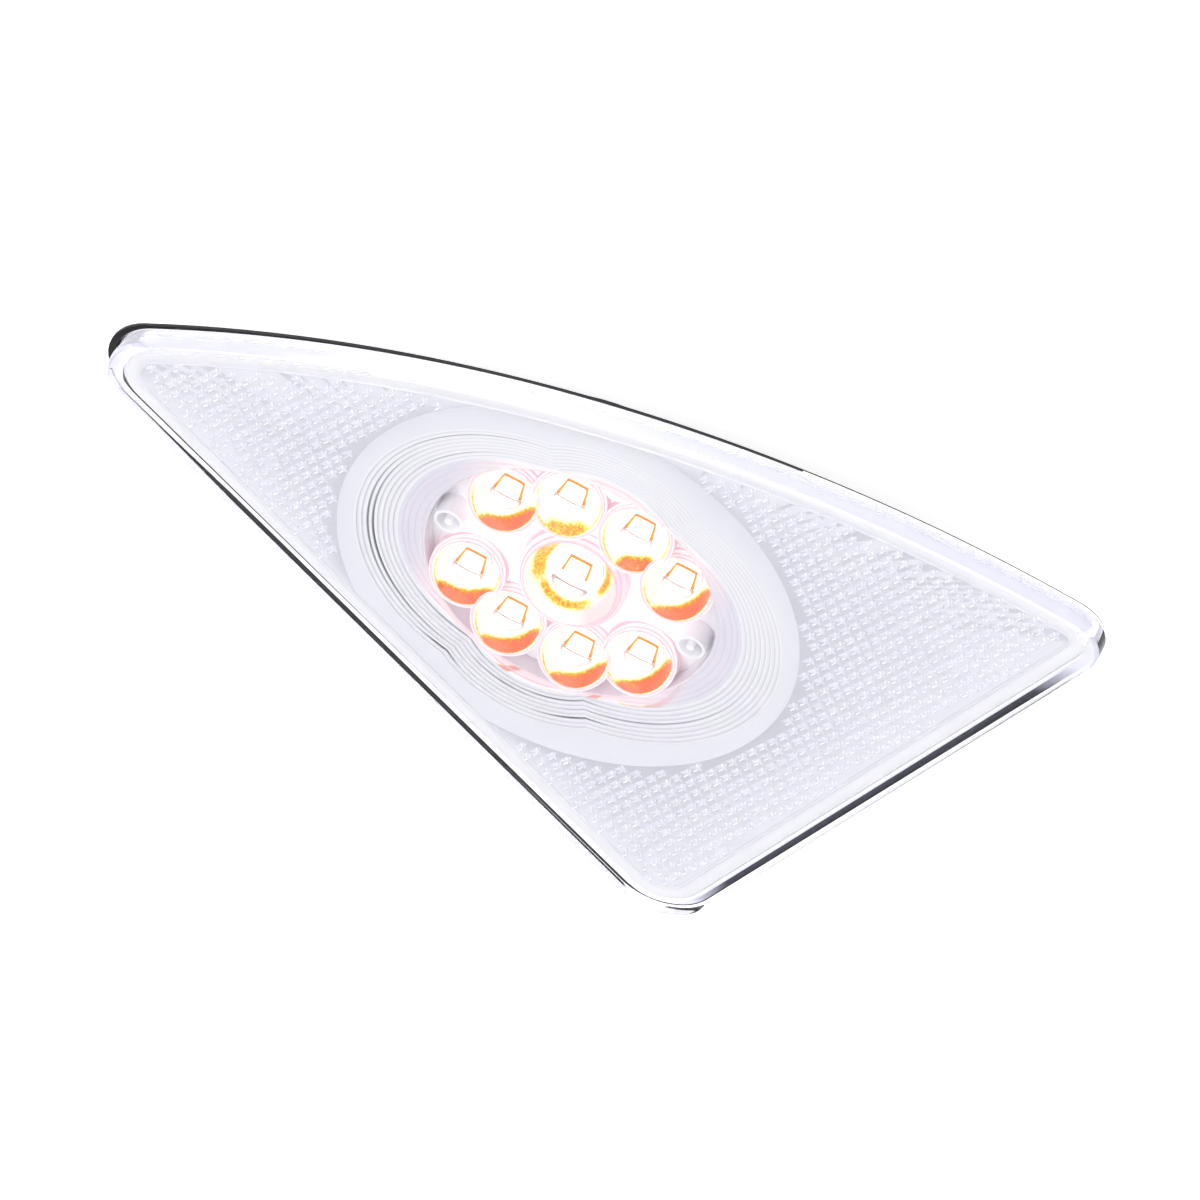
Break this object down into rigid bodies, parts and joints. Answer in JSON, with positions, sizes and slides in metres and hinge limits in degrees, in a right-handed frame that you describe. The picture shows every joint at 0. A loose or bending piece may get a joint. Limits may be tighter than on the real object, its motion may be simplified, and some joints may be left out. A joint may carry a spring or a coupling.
{
  "type": "side repeater lamp",
  "caption": "Fin-shaped clear-lens side turn lamp with a prism field and round light cells in a stepped four-lobed window, on a black tub.",
  "frame": {"origin": "centre of the tub's flat rear face, behind the middle of the window", "axes": "+Z out of the lens, +X along the lamp towards its blunt end, +Y towards the long curved edge"},
  "size_m": [0.199, 0.1411, 0.0217],
  "materials": {
    "clear_lens": "polished clear plastic",
    "pale_moulding": "pale silver grey, smooth prisms",
    "bowl_moulding": "bright white, glossy",
    "clear_dome": "clear, polished",
    "light": "lit, warm white to amber",
    "board": "solder mask",
    "chip_black": "moulded",
    "can": "bright can",
    "black_plastic": "fine moulded grain",
    "foam": "closed-cell foam",
    "contact_brass": "stamped",
    "vent_grey": "porous membrane",
    "steel": "zinc plated"
  },
  "bodies": {
    "root": {"outer_lens": "clear_lens", "prism_plate": "pale_moulding", "bowl_array": "bowl_moulding", "dome_1": "clear_dome", "dome_2": "clear_dome", "dome_3": "clear_dome", "dome_4": "clear_dome", "dome_5": "clear_dome", "dome_6": "clear_dome", "dome_7": "clear_dome", "dome_8": "clear_dome", "dome_9": "clear_dome", "led_1": "light", "led_2": "light", "led_3": "light", "led_4": "light", "led_5": "light", "led_6": "light", "led_7": "light", "led_8": "light", "led_9": "light", "circuit_board": "board", "board_screws": "steel", "resistors": "chip_black", "driver_chip": "chip_black", "capacitor": "can", "protection_diode": "chip_black", "housing": "black_plastic", "gasket": "foam", "connector_header": "black_plastic", "contact_supply": "contact_brass", "contact_earth": "contact_brass", "vent_plug": "vent_grey", "stud_tip": "steel", "stud_upper": "steel", "stud_lower": "steel"}
  },
  "joints": []
}
